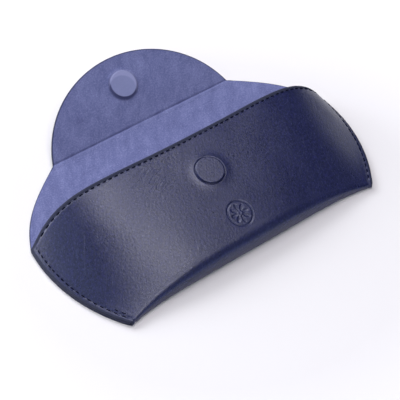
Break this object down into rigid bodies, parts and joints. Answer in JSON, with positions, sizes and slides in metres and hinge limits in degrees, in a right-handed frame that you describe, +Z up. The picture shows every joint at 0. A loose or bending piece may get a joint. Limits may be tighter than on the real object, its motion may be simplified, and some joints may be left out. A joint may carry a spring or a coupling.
{
  "type": "eyeglasses case",
  "caption": "Soft folded-leather pouch for spectacles with a suede lining and a rounded turn-over flap held shut by two hidden magnets.",
  "frame": {"origin": "centre of the flat back panel, on the face that the case lies on", "axes": "+X along the case, +Y from the bottom fold towards the flap, +Z up from the table"},
  "size_m": [0.1762, 0.131, 0.0262],
  "materials": {
    "outer_leather": "smooth waxed full-grain, soft sheen",
    "suede_lining": "matt suede",
    "magnet_plating": "nickel plated",
    "sewing_thread": "waxed twisted thread"
  },
  "bodies": {
    "pouch": {"front_panel": "outer_leather", "back_panel": "outer_leather", "front_lining": "suede_lining", "back_lining": "suede_lining", "front_magnet": "magnet_plating", "mouth_stitching": "sewing_thread", "left_seam_stitching": "sewing_thread", "right_seam_stitching": "sewing_thread"},
    "strip": {"back_strip": "outer_leather", "strip_lining": "suede_lining"},
    "cover": {"flap": "outer_leather", "flap_lining": "suede_lining", "flap_magnet": "magnet_plating"}
  },
  "joints": [
    {"name": "back_fold", "type": "hinge", "parent": "pouch", "child": "strip", "pos_m": [0, 0.0345, 0.0016], "axis": [1, 0, 0], "range_deg": [-5, 99], "stiffness_Nm_per_rad": 0.12, "springref_deg": 2.06},
    {"name": "flap_crease", "type": "hinge", "parent": "strip", "child": "cover", "pos_m": [0, 0.06488, 0.00426], "axis": [1, 0, 0], "range_deg": [-29, 63], "stiffness_Nm_per_rad": 0.05, "springref_deg": 1.03}
  ]
}
